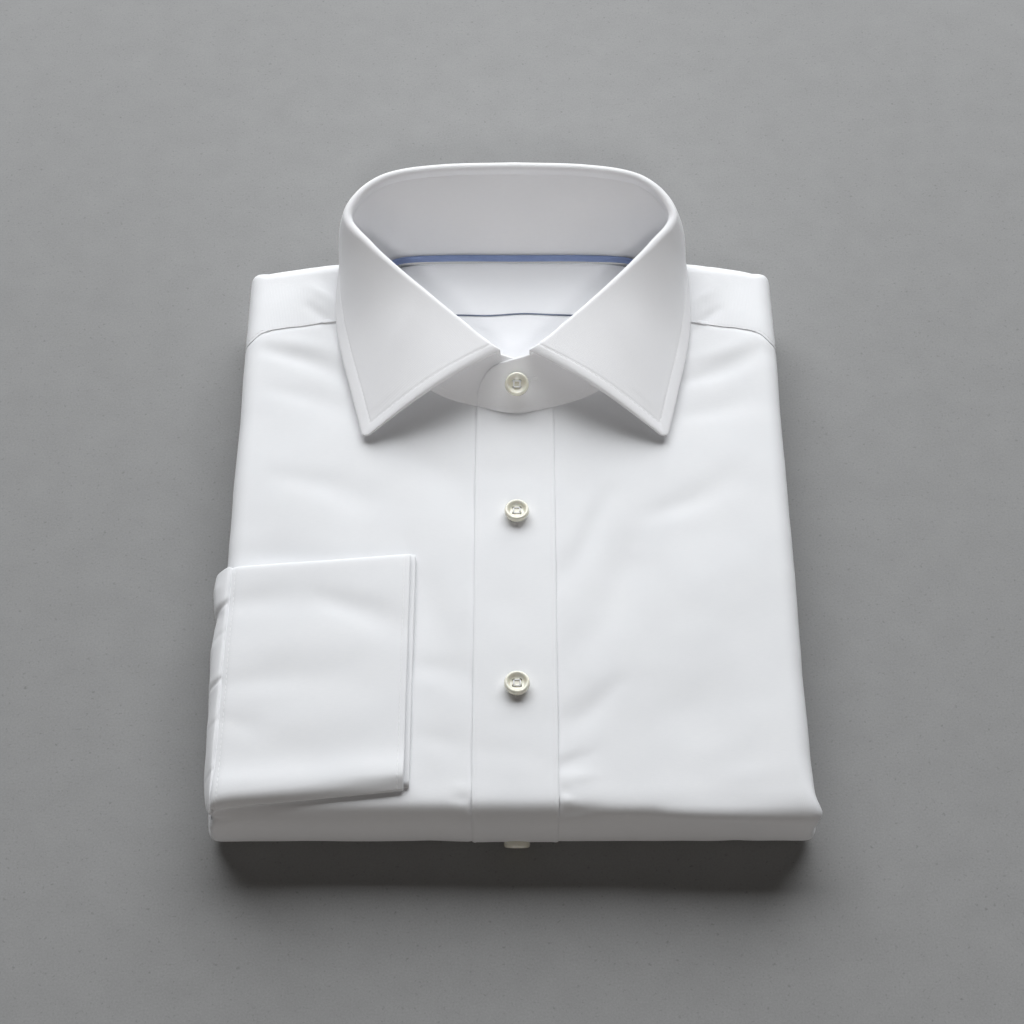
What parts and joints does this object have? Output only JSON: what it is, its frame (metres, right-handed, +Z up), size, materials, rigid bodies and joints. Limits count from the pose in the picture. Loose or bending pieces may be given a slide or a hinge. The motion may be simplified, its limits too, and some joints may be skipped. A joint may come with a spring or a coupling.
{
  "type": "folded dress shirt",
  "caption": "Plain dress shirt folded flat into a packet, its collar standing round the open neck and one double cuff laid across the front.",
  "frame": {"origin": "on the flat underside of the packet, under the middle of the placket and about half way from the bottom fold to the shoulders", "axes": "+Z up from the surface the packet lies on, +Y from the bottom fold towards the collar, +X to the viewer's right when the collar is at the far side"},
  "size_m": [0.2659, 0.3462, 0.076],
  "materials": {
    "white_cotton": "white poplin, matt, fine plain weave",
    "inner_cotton": "white poplin seen from inside, faintly blue",
    "blue_tape": "matt blue woven tape",
    "pearl": "creamy pearl, polished"
  },
  "bodies": {
    "root": {"front_left": "white_cotton", "front_right": "white_cotton", "placket": "white_cotton", "yoke": "white_cotton", "inner_yoke": "inner_cotton", "back": "inner_cotton", "neck_tape": "blue_tape", "collar_stand": "white_cotton", "collar_leaf": "white_cotton", "sleeve": "white_cotton", "cuff": "white_cotton", "folded_layers": "white_cotton", "button_collar": "pearl", "button_upper": "pearl", "button_lower": "pearl", "button_fold": "pearl"}
  },
  "joints": []
}
